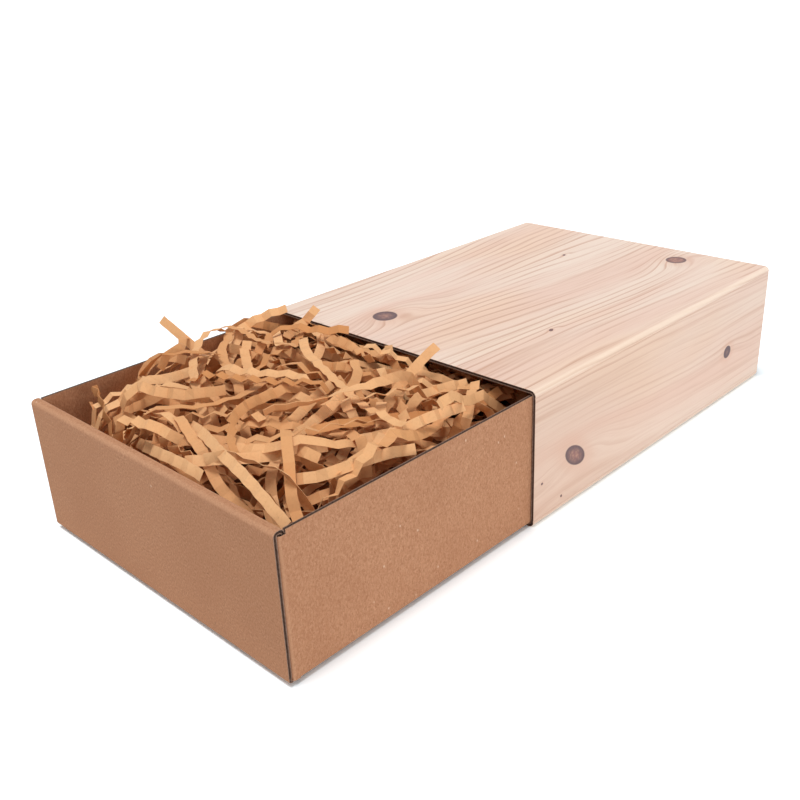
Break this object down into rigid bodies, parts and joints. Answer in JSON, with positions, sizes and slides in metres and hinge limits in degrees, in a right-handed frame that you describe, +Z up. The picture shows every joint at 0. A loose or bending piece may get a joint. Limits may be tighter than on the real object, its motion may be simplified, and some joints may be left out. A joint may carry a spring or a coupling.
{
  "type": "gift box",
  "caption": "Matchbox-style gift box: a kraft corrugated tray filled with crinkled paper shred slides in a sleeve printed with pale wood grain.",
  "frame": {"origin": "centre of the sleeve's underside", "axes": "+Y along the slide, into the sleeve from the mouth that the tray is drawn out of; +Z up; +X to the right as seen from the tray's front"},
  "size_m": [0.175, 0.365, 0.068],
  "materials": {
    "printed_pine_board": "satin print of pale pine grain on corrugated board",
    "kraft_board": "matt brown kraft liner",
    "crinkled_kraft_paper": "matt crinkle-cut kraft paper"
  },
  "bodies": {
    "sleeve": {"sleeve_top_panel": "printed_pine_board", "sleeve_bottom_panel": "printed_pine_board", "sleeve_left_panel": "printed_pine_board", "sleeve_right_panel": "printed_pine_board", "sleeve_glue_flap": "kraft_board"},
    "tray": {"tray_base": "kraft_board", "tray_left_wall": "kraft_board", "tray_right_wall": "kraft_board", "tray_front_outer_wall": "kraft_board", "tray_front_top_band": "kraft_board", "tray_front_inner_wall": "kraft_board", "tray_front_left_corner_flap": "kraft_board", "tray_front_right_corner_flap": "kraft_board", "tray_rear_outer_wall": "kraft_board", "tray_rear_top_band": "kraft_board", "tray_rear_inner_wall": "kraft_board", "tray_rear_left_corner_flap": "kraft_board", "tray_rear_right_corner_flap": "kraft_board", "shred_bed": "crinkled_kraft_paper", "shred_strip_01": "crinkled_kraft_paper", "shred_strip_02": "crinkled_kraft_paper", "shred_strip_03": "crinkled_kraft_paper", "shred_strip_04": "crinkled_kraft_paper", "shred_strip_05": "crinkled_kraft_paper", "shred_strip_06": "crinkled_kraft_paper", "shred_strip_07": "crinkled_kraft_paper", "shred_strip_08": "crinkled_kraft_paper", "shred_strip_09": "crinkled_kraft_paper", "shred_strip_10": "crinkled_kraft_paper", "shred_strip_11": "crinkled_kraft_paper", "shred_strip_12": "crinkled_kraft_paper", "shred_strip_13": "crinkled_kraft_paper", "shred_strip_14": "crinkled_kraft_paper", "shred_strip_15": "crinkled_kraft_paper", "shred_strip_16": "crinkled_kraft_paper", "shred_strip_17": "crinkled_kraft_paper", "shred_strip_18": "crinkled_kraft_paper", "shred_strip_19": "crinkled_kraft_paper", "shred_strip_20": "crinkled_kraft_paper", "shred_strip_21": "crinkled_kraft_paper", "shred_strip_22": "crinkled_kraft_paper", "shred_strip_23": "crinkled_kraft_paper", "shred_strip_24": "crinkled_kraft_paper", "shred_strip_25": "crinkled_kraft_paper", "shred_strip_26": "crinkled_kraft_paper", "shred_strip_27": "crinkled_kraft_paper", "shred_strip_28": "crinkled_kraft_paper", "shred_strip_29": "crinkled_kraft_paper", "shred_strip_30": "crinkled_kraft_paper", "shred_strip_31": "crinkled_kraft_paper", "shred_strip_32": "crinkled_kraft_paper", "shred_strip_33": "crinkled_kraft_paper", "shred_strip_34": "crinkled_kraft_paper", "shred_strip_35": "crinkled_kraft_paper", "shred_strip_36": "crinkled_kraft_paper"}
  },
  "joints": [
    {"name": "tray_slide", "type": "slide", "parent": "sleeve", "child": "tray", "axis": [0, -1, 0], "range_m": [-0.1435, 0.088]}
  ]
}
